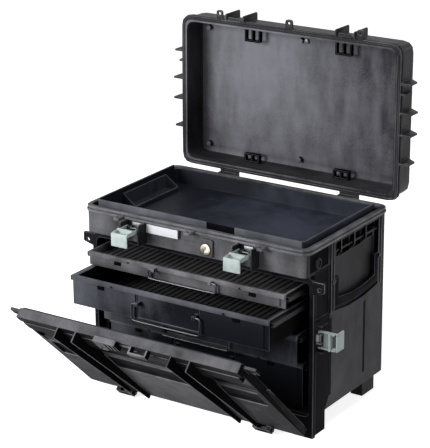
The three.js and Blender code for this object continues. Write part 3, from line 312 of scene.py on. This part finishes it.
# The sunk pockets are shallow; their walls take the near-black as painted shade of deeper hollows.
side_pockets = [
    (sorted(side * x for x in reach), along, upwards, black_and_shade)
    for side in (-1, 1)
    for reach, along, upwards in sunk_blocks
]
base = softened(
    "base_shell", "base_moulding", "case", charcoal, width=0.0008, edge=lit_charcoal,
    pockets=side_pockets,
)
slack, frame_proud = 0.0004, 0.0030
recess_front, recess_rear, recess_low, recess_high = 0.0120, 0.2225, 0.2485, 0.3970
wall_high, wall_front = 0.2460, 0.0200
flank_high, flank_rear = 0.3500, 0.0133
band_low, rim_low = 0.3505, 0.4000
lip_low, lip_front, lip_side = 0.3965, -0.0850, 0.2655
groove_bed, groove_brim = groove_floor - 0.0020, side_face - 0.0006
groove_bottom, groove_top = 0.0650, 0.2400
# Words for how much of a face's normal points one way
squarely, mostly, largely, half, partly, slightly = 0.9, 0.8, 0.6, 0.5, 0.3, 0.2


def front_band(at, normal):
    """The forward faces of the upper band, and the whole rim."""
    return at.z > band_low and (normal.y < -partly or at.z > rim_low)


def side_wall(at, normal):
    """The flat of each side below its handle's recess."""
    flat = abs(at.x) > side_face - slack and abs(normal.x) > squarely
    return flat and at.z < wall_high and at.y > wall_front


def front_flank(at, normal):
    """The flat of each side ahead of its front groove, and the floors of its pockets."""
    flat = abs(at.x) > recess_floor - slack and abs(normal.x) > squarely
    return flat and at.y < flank_rear and at.z < flank_high


def rim_lip(at, normal):
    """The outer edge of the rim, in front and at the sides."""
    return at.z > lip_low and (at.y < lip_front or abs(at.x) > lip_side)


def in_recess(at):
    deep = recess_floor + slack < abs(at.x) < side_face + frame_proud
    return deep and recess_front < at.y < recess_rear and recess_low < at.z < recess_high


def recess_walls(at, normal):
    return in_recess(at) and abs(normal.x) < largely and normal.z < largely


def groove_walls(at, normal):
    deep = groove_bed < abs(at.x) < groove_brim
    return deep and abs(normal.y) > mostly and groove_bottom < at.z < groove_top


def recess_frame(at, normal):
    """The outer face of the frame that stands proud round a recess."""
    return abs(at.x) > side_face + slack and in_recess(at) and abs(normal.x) > largely


# Painted light on the band's forward faces, the rim, the flat sides and the recess frames; a
# painted highlight on the rim's lip; painted shade on the front flanks, pocket floors and recess
# and groove walls.
for finish, chosen in (
    (lit_charcoal, front_band), (dim_lit_charcoal, side_wall), (shaded_charcoal, front_flank), (highlit_charcoal, rim_lip),
    (black_and_shade, recess_walls), (black_and_shade, groove_walls), (lit_charcoal, recess_frame),
):
    paint_light_and_shade(base, finish, chosen)


# A round boss with a sunk middle stands in each side's front pocket. It is a moulded-on seat for
# a screw cap, turned here as a disc whose face is inset and pressed in.
boss_radius, boss_rim, boss_proud, boss_sunk = 0.0110, 0.0026, 0.0030, 0.0021
boss_along, boss_high = -0.0337, 0.3690
for side, word in ((-1, "left"), (1, "right")):
    bpy.ops.object.select_all(action="DESELECT")
    bpy.ops.mesh.primitive_cylinder_add(
        vertices=40, radius=boss_radius, depth=boss_proud, rotation=(0, side * math.pi / 2, 0),
        location=(side * (pocket_floor + boss_proud / 2), boss_along, boss_high),
    )
    boss = bpy.context.object
    boss.name = f"cap_seat_{word}"
    bpy.ops.object.transform_apply(location=True, rotation=True, scale=True)
    bpy.ops.object.mode_set(mode="EDIT")
    bpy.ops.mesh.select_all(action="DESELECT")
    bpy.ops.object.mode_set(mode="OBJECT")
    for face in boss.data.polygons:
        face.select = face.normal.x * side > squarely
    bpy.ops.object.mode_set(mode="EDIT")
    bpy.ops.mesh.inset(thickness=boss_rim)
    bpy.ops.transform.translate(value=(-side * boss_sunk, 0, 0))
    bpy.ops.object.mode_set(mode="OBJECT")
    rounded(boss, width=0.0005, segments=2)
    bpy.ops.object.shade_smooth_by_angle(angle=math.radians(35))
    boss.data.materials.append(charcoal)
    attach(boss, "case")


# The frame round the drawer bay is a second moulding of the same plastic, screwed on from inside.
# It takes the darker copy as painted shade, with painted highlights on its edges and mouth. Behind
# it stand the two sheet panels that carry the runners.
surround = softened(
    "bay_frame", "bay_surround", "case", shaded_charcoal, width=0.0014, segments=3, edge=dim_lit_charcoal,
)
mouth_rear = -0.0550


def on_rounding(share, least=0.20, most=0.95):
    """Whether a face is part of a rounded edge, by how much of its normal points one way."""
    return least < share < most


def mouth_edges(at, normal):
    return on_rounding(-normal.y, least=0.25, most=0.97) and at.y < mouth_rear


# Painted highlights on the roundings of the bay's mouth.
paint_light_and_shade(surround, lit_charcoal, mouth_edges)
for side in ("left", "right"):
    softened(
        f"rail_panel_{side}", f"rail_sheet_{side}", "case", black_and_shade, width=0.0004, segments=1,
    )


# The lid is a deep shell of the same plastic, with its guards, fins, posts and hinge lugs moulded
# on. Its inside has a finer skin than the outside, and takes a lighter copy as painted light, with
# a painted pool of light low in the middle; the roundings of its mouth and its edges carry painted
# highlights.
lid_inside_lit = moulded_plastic(
    "lid_inside_painted_light", (0.018, 0.018, 0.021), (0.203, 0.204, 0.230), roughness=0.42,
    grain=0.00005, cloud=1.6, light_pool=((-0.11, 0.33, 0.65), 0.37),
)
lid = softened(
    "lid_shell", "lid_moulding", "lid", charcoal, width=0.0010, edge=lit_charcoal,
)
cord_low, cord_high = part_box("lid_gasket")
cord_width, cord_seat, lid_depth = 0.0040, 0.0035, 0.0565


def inside_lid(at, normal):
    across = cord_low.x + cord_width < at.x < cord_high.x - cord_width
    upwards = cord_low.z + cord_width < at.z < cord_high.z - cord_width
    return across and upwards and at.y < cord_high.y + lid_depth


def inner_walls(at, normal):
    """The inside faces that look to the right or up, which keep the plain charcoal as painted shade
    beside the painted light of the rest.
    """
    return inside_lid(at, normal) and max(normal.x, normal.z) > half


def lid_lip(at, normal):
    """The rounded edges round the lid's mouth."""
    mouth = at.y < cord_high.y + cord_seat and not inside_lid(at, normal)
    return mouth and on_rounding(abs(normal.y))


# The inside takes painted light, its walls that face right or up painted shade, and the mouth's
# roundings a painted highlight.
paint_light_and_shade(lid, lid_inside_lit, inside_lid)
paint_light_and_shade(lid, charcoal, inner_walls)
paint_light_and_shade(lid, lit_charcoal, lid_lip)
# The board clips are black, and their roundings take a painted highlight.
for wall in ("rear", "front"):
    for side in ("left", "right"):
        softened(
            f"lid_board_clip_{wall}_{side}", f"board_clip_{wall}_{side}", "lid", black_and_shade,
            width=0.0006, edge=dim_lit_charcoal,
        )


# Black rubber is used for the cord seal in the lid, the strip on the panel's edge and the
# ribbed mats in the drawers. It is dull, and dust has greyed it a little.
def dull_rubber(name, dark, light):
    finish = Finish(bpy.data.materials.new(name), Specular_IOR_Level=0.3)
    dust = finish.noise(26.0, detail=5.0)
    skin = finish.noise(900.0, detail=1.0)
    return finish.feed(
        Base_Color=finish.blend(dust * 0.8 + skin * 0.3, dark, light),
        Roughness=dust * 0.15 + 0.72,
        Normal=finish.bumped(skin, 0.00005, 0.4),
    )


rubber = dull_rubber("black_rubber", (0.008, 0.008, 0.009), (0.022, 0.022, 0.024))
mat_rubber = dull_rubber("mat_rubber", (0.027, 0.026, 0.026), (0.088, 0.085, 0.085))
softened("lid_gasket", "lid_seal_cord", "lid", rubber, width=0.0006)
softened("panel_seal", "panel_seal_strip", "panel", rubber, width=0.0005)


# The front panel is a thick moulding with four deep fins that guard its latches outside. A row of
# rounded troughs lies below its cove, and the padlock block is bolted to its upper edge. It takes a
# lighter copy of the charcoal as painted light, with a painted pool of light on its middle; its
# edges and the fins' crests carry painted highlights, and its recesses painted shade.
# A lighter copy of the charcoal as painted light, with a painted pool of light on the middle of the
# plateau.
panel_lit = moulded_plastic(
    "panel_plastic_painted_light", (0.010, 0.010, 0.012), (0.100, 0.101, 0.109), roughness=0.42, grain=0.00006,
    cloud=9.0, light_pool=((-0.04, -0.20, 0.11), 0.27), sheen=0.010,
)
panel_turn = math.radians(46.2)
panel_axis = Vector((0, -0.0807, 0.009))
panel_up = Vector((0, -math.sin(panel_turn), math.cos(panel_turn)))
panel_out = Vector((0, -math.cos(panel_turn), -math.sin(panel_turn)))
trough_low, trough_high, trough_floor, trough_rounding = 0.1570, 0.2165, -0.0085, 0.0070
above_panel = 0.0250
trough_lengths = (
    (-0.2500, -0.1625), (-0.1515, -0.1185), (-0.1080, 0.1080), (0.1185, 0.1515), (0.1625, 0.2500),
)
# The troughs' walls take the darker copy as painted shade.
troughs = [
    (length, (trough_low, trough_high), (trough_floor, above_panel), shaded_charcoal)
    for length in trough_lengths
]
panel = softened(
    "front_panel", "panel_moulding", "panel", panel_lit, width=0.0012, edge=lit_charcoal,
    pockets=troughs, placed=(panel_turn, panel_axis, trough_rounding),
)
cove_low, cove_high, cove_back, cove_front = 0.2300, 0.2860, -0.0125, -0.0030
lip_root, lip_crest, lip_front = cove_high - 0.0030, cove_high + 0.0020, 0.0010
band_back, top_back, ledge_back = -0.0060, -0.0170, -0.0045
ledge_bottom, ledge_top = trough_low - 0.0030, trough_low + 0.0012
end_inner, end_low, nearly_flat = 0.2400, 0.1500, 0.98
cover_inner, cover_outer, cover_top = 0.1550, 0.1850, 0.0140
fin_outer, fin_root, fin_crest, fin_low = 0.1900, -0.0100, 0.0055, 0.0200


def up(at):
    """How far up the open panel a point lies, from its hinge axis."""
    return (at - panel_axis).dot(panel_up)


def out(at):
    """How far out from the open panel's hinge plane a point lies."""
    return (at - panel_axis).dot(panel_out)


def dark_band(at, normal):
    """The flat of the recessed band along the upper edge."""
    return up(at) > lip_root and out(at) > band_back and normal.dot(panel_out) > squarely


def top_edges(at, normal):
    """The panel's upper edge, and the rounded edges of its band and lip."""
    slanted = normal.dot(panel_out) < squarely and normal.dot(panel_up) > slightly
    return slanted and up(at) > lip_root and out(at) > top_back


def lip_edge(at, normal):
    """The roundings of the lip under the band."""
    on_lip = lip_root < up(at) < lip_crest and out(at) > lip_front
    return on_lip and on_rounding(normal.dot(panel_out))


def fin_sides(at, normal):
    return abs(normal.x) > mostly and out(at) > fin_root and abs(at.x) < fin_outer


def cove_floor(at, normal):
    return cove_low < up(at) < cove_high and cove_back < out(at) < cove_front


def panel_ends(at, normal):
    return abs(normal.x) > largely and abs(at.x) > end_inner and up(at) > end_low


def trough_ledge(at, normal):
    """The rounded edge along the lower side of the troughs."""
    along = ledge_bottom < up(at) < ledge_top and out(at) > ledge_back
    return along and normal.dot(panel_out) < nearly_flat


def fin_crests(at, normal):
    return normal.dot(panel_out) > half and out(at) > fin_crest and up(at) > fin_low


def hinge_covers(at, normal):
    return cover_inner < abs(at.x) < cover_outer and up(at) < cover_top


# Painted shade on the band, the fins' sides, the cove, the ends and the hinge covers; painted
# highlights on the upper edge, the lip, the troughs' ledge and the fins' crests.
for finish, chosen in (
    (shaded_charcoal, dark_band), (lit_charcoal, top_edges), (highlit_charcoal, lip_edge), (black_and_shade, fin_sides),
    (charcoal, cove_floor), (black_and_shade, panel_ends), (highlit_charcoal, trough_ledge), (lit_charcoal, fin_crests),
    (black_and_shade, hinge_covers),
):
    paint_light_and_shade(panel, finish, chosen)
lock_block = softened(
    "panel_lock_block", "padlock_block", "panel", charcoal, width=0.0009, edge=highlit_charcoal,
)
# Painted highlight on the block's upper faces and roundings, painted shade on its sides.
paint_light_and_shade(lock_block, highlit_charcoal, lambda at, normal: normal.dot(panel_up) > half)
paint_light_and_shade(lock_block, black_and_shade, lambda at, normal: abs(normal.x) > mostly)


# The drawers are moulded in a bluer, smoother plastic. Each has a proud lip round its top, two lugs
# that its wire bail turns in, and on its front two low cheeks and two black catches. Their fronts
# carry a painted pool of light towards the left, their lips and edges painted highlights, and the
# shallow drawer's front painted light.
drawer_dark = (0.010, 0.011, 0.015)
# The drawers' own plastic, with a painted pool of light on the left of their fronts.
drawer_slate = moulded_plastic(
    "drawer_plastic", drawer_dark, (0.100, 0.104, 0.124), roughness=0.40, grain=0.00004,
    light_pool=((-0.28, -0.16, 0.28), 0.25),
)
# A lighter copy of the drawer plastic for the third drawer: painted light that lifts it out of the
# shade of the drawer above.
lit_low_slate = moulded_plastic(
    "low_drawer_plastic_painted_light", (0.020, 0.021, 0.026), (0.110, 0.113, 0.134), roughness=0.40,
    grain=0.00004,
)
# A lighter copy of the slate: a painted highlight on lips, rims and edge roundings.
highlit_slate = moulded_plastic(
    "highlit_slate", (0.050, 0.052, 0.060), (0.150, 0.155, 0.175), roughness=0.38, grain=0.00004,
    cloud=14.0,
)


def rounded_bar(name, x, y, z, material, body, width):
    """A bar between ranges along X, Y and Z, its edges rounded."""
    bar = block(x, y, z)
    bar.name = name
    rounded(bar, width, segments=3)
    bpy.ops.object.shade_smooth_by_angle(angle=math.radians(40))
    bar.data.materials.append(material)
    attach(bar, body)


def front_of(tub, below):
    """Where the frontmost forward face of a tub stands, of those under its lip that are wide.

    A wide face has more than a quarter of the largest one's area.
    """
    faces = [
        face for face in tub.data.polygons if face.normal.y < -squarely and face.center.z < below
    ]
    widest = max(face.area for face in faces)
    return min(face.center.y for face in faces if face.area > widest / 4)


lip_height, lip_thick, side_clear = 0.0085, 0.0040, 0.0110
lug_out, cheek_inset, cheek_foot, cheek_gap = 0.0780, 0.0120, 0.0040, 0.0010
cheek_proud, catch_proud, catch_out, catch_half = 0.0030, 0.0052, 0.1630, 0.0080
catch_high, catch_low = 0.0010, 0.0090
for number in range(1, 5):
    body = f"drawer_{number}"
    shallow = number == 1
    skin = lit_low_slate if number == 3 else drawer_slate
    tub = softened(
        body, f"drawer_tub_{number}", body, skin, width=0.0009, segments=3,
        edge=highlit_slate,
    )
    tub_low, tub_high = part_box(body)
    lip_low, side_top = tub_high.z - lip_height, tub_high.z - side_clear
    # Painted shade on the sides that face right.
    paint_light_and_shade(tub, black_and_shade, lambda at, normal: normal.x > squarely and at.z < side_top)
    front = front_of(tub, lip_low)
    lip_back = front + lip_thick
    # The shallow drawer's front takes painted light, and every lip a painted highlight.
    if shallow:
        paint_light_and_shade(tub, lit_charcoal, lambda at, normal: at.y < lip_back)
    paint_light_and_shade(
        tub, highlit_charcoal if shallow else highlit_slate,
        lambda at, normal: at.z > lip_low and (normal.z > partly or at.y < lip_back),
    )
    softened(
        f"{body}_mat", f"drawer_ribs_{number}", body, mat_rubber, width=0.0004, segments=1,
    )
    for side, word in ((-1, "left"), (1, "right")):
        # The shallow drawer's cheeks take painted light.
        rounded_bar(
            f"drawer_cheek_{word}_{number}",
            sorted((side * lug_out, side * (tub_high.x - cheek_inset))),
            (front - cheek_proud, front + cheek_gap), (tub_low.z + cheek_foot, lip_low - cheek_gap),
            lit_charcoal if shallow else skin, body, width=0.0008,
        )
        middle = side * catch_out
        rounded_bar(
            f"drawer_catch_{word}_{number}", (middle - catch_half, middle + catch_half),
            (front - catch_proud, front), (lip_low - catch_low, lip_low - catch_high),
            black_and_shade, body, width=0.0005,
        )


# Bails, runners, hinge pins, the stud and the latch brackets are steel: drawn wire for the
# bails, folded sheet for the rest, all with a dark zinc finish.
def dull_steel(name, dark, light, roughness, grain):
    finish = Finish(bpy.data.materials.new(name), Metallic=1.0)
    stain = finish.noise(40.0, detail=4.0)
    drawn = finish.noise(500.0, stretch=(0.08, 1, 1))
    return finish.feed(
        Base_Color=finish.blend(stain * 0.8 + drawn * 0.3, dark, light),
        Roughness=stain * 0.2 + drawn * 0.15 + roughness - 0.15,
        Normal=finish.bumped(drawn, grain, 0.4),
    )


dark_zinc = dull_steel(
    "dark_zinc", (0.045, 0.045, 0.052), (0.15, 0.15, 0.16), roughness=0.38, grain=0.00003,
)
black_zinc = dull_steel(
    "black_zinc", (0.012, 0.012, 0.013), (0.045, 0.045, 0.048), roughness=0.5, grain=0.00003,
)
wire_swell = 0.0005
for number in range(1, 5):
    bail = softened(
        f"drawer_{number}_bail", f"wire_bail_{number}", f"bail_{number}", dark_zinc,
        width=0.0002, segments=1, turn=60,
    )
    bpy.context.view_layer.objects.active = bail
    bpy.ops.object.mode_set(mode="EDIT")
    bpy.ops.mesh.select_all(action="SELECT")
    bpy.ops.transform.shrink_fatten(value=wire_swell)
    bpy.ops.object.mode_set(mode="OBJECT")
    round_bar = bail.modifiers.new("round_bar", "SUBSURF")
    round_bar.levels = round_bar.render_levels = 1
    bpy.ops.object.modifier_apply(modifier=round_bar.name)
    bpy.ops.object.shade_smooth_by_angle(angle=math.radians(50))
    softened(
        f"drawer_{number}_runners", f"runner_pair_{number}",
        f"runners_{number}" if number < 4 else "case", black_zinc, width=0.0004,
        segments=1,
    )
softened("lid_stud", "lid_rivet", "lid", dark_zinc, width=0.0006)
for side in ("left", "right"):
    softened(
        f"lid_hinge_pin_{side}", f"lid_pin_{side}", "case", dark_zinc, width=0.0005,
    )
    softened(
        f"panel_hinge_pin_{side}", f"panel_pin_{side}", "case", dark_zinc, width=0.0004,
    )
    for face in ("front", "side"):
        softened(
            f"{face}_{side}_latch_bracket", f"{face}_{side}_bracket", "case", dark_zinc,
            width=0.0004, segments=1,
        )


# The loose tray lifts out of the well. It is moulded in the drawers' plastic, with a notch in its
# front and a bin with a slanted top at its left end. Its floor carries a painted pool of light, its
# rim and the bin's top painted highlights, and a black bar in the notch is painted shade for the
# pocket behind it.
# The tray's own plastic, with a painted pool of light on its floor and scuff streaks over it.
tray_slate = moulded_plastic(
    "tray_plastic", (0.010, 0.011, 0.016), (0.044, 0.049, 0.070), roughness=0.40, grain=0.00005,
    cloud=8.0, light_pool=((0.14, 0.08, 0.37), 0.26),
)
slate = moulded_plastic(
    "slate_plastic", drawer_dark, (0.050, 0.053, 0.066), roughness=0.42, grain=0.00004, cloud=5.0,
)
tray = softened(
    "top_tray", "lift_out_tray", "tray", tray_slate, width=0.0012, segments=3,
)
parts_bin = softened("tray_bin", "parts_bin", "tray", slate, width=0.0009)
tray_low, tray_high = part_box("top_tray")
edge_depth, bin_foot = 0.0016, tray_low.z + 0.0120
notch_left, notch_right, notch_depth, notch_brim = 0.0235, 0.0905, 0.0190, 0.0015
bar_front, bar_back = tray_low.y + 0.0011, tray_low.y + 0.0036


def tray_edge(at, normal):
    """The rim of the tray, and the edges of its front wall."""
    top = at.z > tray_high.z - edge_depth and normal.z > slightly
    return top or (at.y < tray_low.y + edge_depth and normal.y < -slightly)


# Painted highlights on the tray's rim and front edges and on the bin's upper faces.
paint_light_and_shade(tray, highlit_slate, tray_edge)
paint_light_and_shade(parts_bin, highlit_slate, lambda at, normal: normal.z > partly and at.z > bin_foot)
# A black bar just behind the notch's face: painted shade for the pocket beyond it.
rounded_bar(
    "lock_pocket_shade", (notch_left, notch_right), (bar_front, bar_back),
    (tray_high.z - notch_depth, tray_high.z - notch_brim), black_and_shade, "tray", width=0.0006,
)


# The label holder is a thin frame of the tray's plastic on the upper band. A plain white card
# slides in it and fills its window.
paper = Finish(bpy.data.materials.new("white_card"), Specular_IOR_Level=0.4)
fibre = paper.noise(240.0, detail=4.0)
card_white = paper.feed(
    Base_Color=paper.blend(fibre, (0.60, 0.61, 0.64), (0.74, 0.75, 0.78)),
    Roughness=fibre * 0.2 + 0.45,
    Normal=paper.bumped(fibre, 0.00003, 0.3),
)
softened("label_frame", "label_holder", "case", slate, width=0.0006)
softened("label_card", "label_insert", "case", card_white, width=0.0002, segments=1)
holder_low, holder_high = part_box("label_frame")
frame_edge, frame_end, card_hang = 0.0005, 0.0040, 0.0025
window_proud, window_back = 0.0006, 0.0008
rounded_bar(
    "label_window", (holder_low.x + frame_edge, holder_high.x - frame_end),
    (holder_low.y - window_proud, holder_low.y + window_back),
    (holder_low.z - card_hang, holder_high.z - frame_edge), card_white, "case",
    width=0.0005,
)


# The key lock: a housing moulded in black, and a plated cylinder whose face stands proud and
# carries the key slot. Its cam hooks behind the front wall. The housing takes the lighter copy of
# the charcoal as painted light, like the band it sits on.
softened("lock_housing", "lock_plate", "case", lit_charcoal, width=0.0010)
plated = dull_steel(
    "plated_brass", (0.36, 0.32, 0.26), (0.66, 0.60, 0.52), roughness=0.32, grain=0.00002,
)
softened("lock_cylinder", "lock_barrel", "lock", plated, width=0.0005)
softened("lock_cam", "lock_tongue", "lock", dark_zinc, width=0.0003)


# The latches are moulded in a pale grey-green glass-filled plastic. A yoke swings on the
# bracket's pin, and the lever turns at the yoke's end.
celadon = moulded_plastic(
    "celadon_plastic", (0.34, 0.40, 0.39), (0.60, 0.68, 0.66), roughness=0.42, grain=0.00003,
    cloud=30.0,
)
for face in ("front", "side"):
    for side in ("left", "right"):
        latch = f"{face}_{side}"
        softened(
            f"{latch}_latch_yoke", f"{latch}_link", f"{latch}_yoke", celadon,
            width=0.0006,
        )
        softened(
            f"{latch}_latch_lever", f"{latch}_grip", f"{latch}_lever", celadon,
            width=0.0007,
        )


# The side handles are bows of the case's own plastic, each with two moulded pins that turn in the
# ends of its recess. They take the darker copy as painted shade, and their roundings a painted
# highlight. Their roundings are narrow, so that the pins stay clear of their holes.
for side in ("left", "right"):
    softened(
        f"side_handle_{side}", f"carry_bow_{side}", f"handle_{side}", shaded_charcoal,
        width=0.0005, edge=lit_charcoal,
    )


# A white floor that runs to the horizon, and white light all round it. The camera and reflections
# see both as plain white, and the case's shadow still falls on the floor.
def seen(finish):
    """1 for a ray of sight, for one that a surface mirrors and for one that passes through."""
    plain = finish.node("LightPath", {}, {}, "Is Camera Ray")
    for ray in ("Is Glossy Ray", "Is Transmission Ray"):
        plain = finish.sum("MAXIMUM", plain, finish.node("LightPath", {}, {}, ray))
    return plain


bpy.ops.object.select_all(action="DESELECT")
bpy.ops.mesh.primitive_plane_add(size=30, location=(0, 0, 0))
floor = bpy.context.object
floor.name = "floor"
ground = Finish(
    bpy.data.materials.new("white_floor"), Roughness=0.9, Specular_IOR_Level=0.1,
    Emission_Strength=1.0,
)
floor.data.materials.append(ground.feed(
    Base_Color=ground.blend(ground.noise(3.0), (0.86, 0.86, 0.86), (0.88, 0.88, 0.88)),
    Emission_Color=ground.blend(seen(ground), (0, 0, 0), (0.81, 0.81, 0.81)),
))

world = bpy.data.worlds.new("studio")
bpy.context.scene.world = world
sky = Finish(world, "Background")
sky.feed(Color=sky.blend(seen(sky), (0.13, 0.13, 0.136), (1, 1, 1)))


# Soft lamps: a broad one in front for the faces that look forward, one overhead, and a weak one
# at the right.
def lamp(name, place, aim, size, power):
    bpy.ops.object.light_add(type="AREA", location=place)
    light = bpy.context.object
    light.name = name
    light.rotation_euler = (Vector(place) - Vector(aim)).to_track_quat("Z", "Y").to_euler()
    light.data.size = size
    light.data.energy = power


lamp("front_lamp", (-1.5, -3.3, 1.6), (0, 0, 0.4), size=1.5, power=144)
lamp("top_lamp", (0.3, -0.5, 3.4), (0, 0, 0.3), size=2.0, power=42)
lamp("right_lamp", (3.4, 0.4, 1.6), (0, 0, 0.3), size=1.6, power=19)

bpy.context.scene.view_settings.view_transform = "Standard"
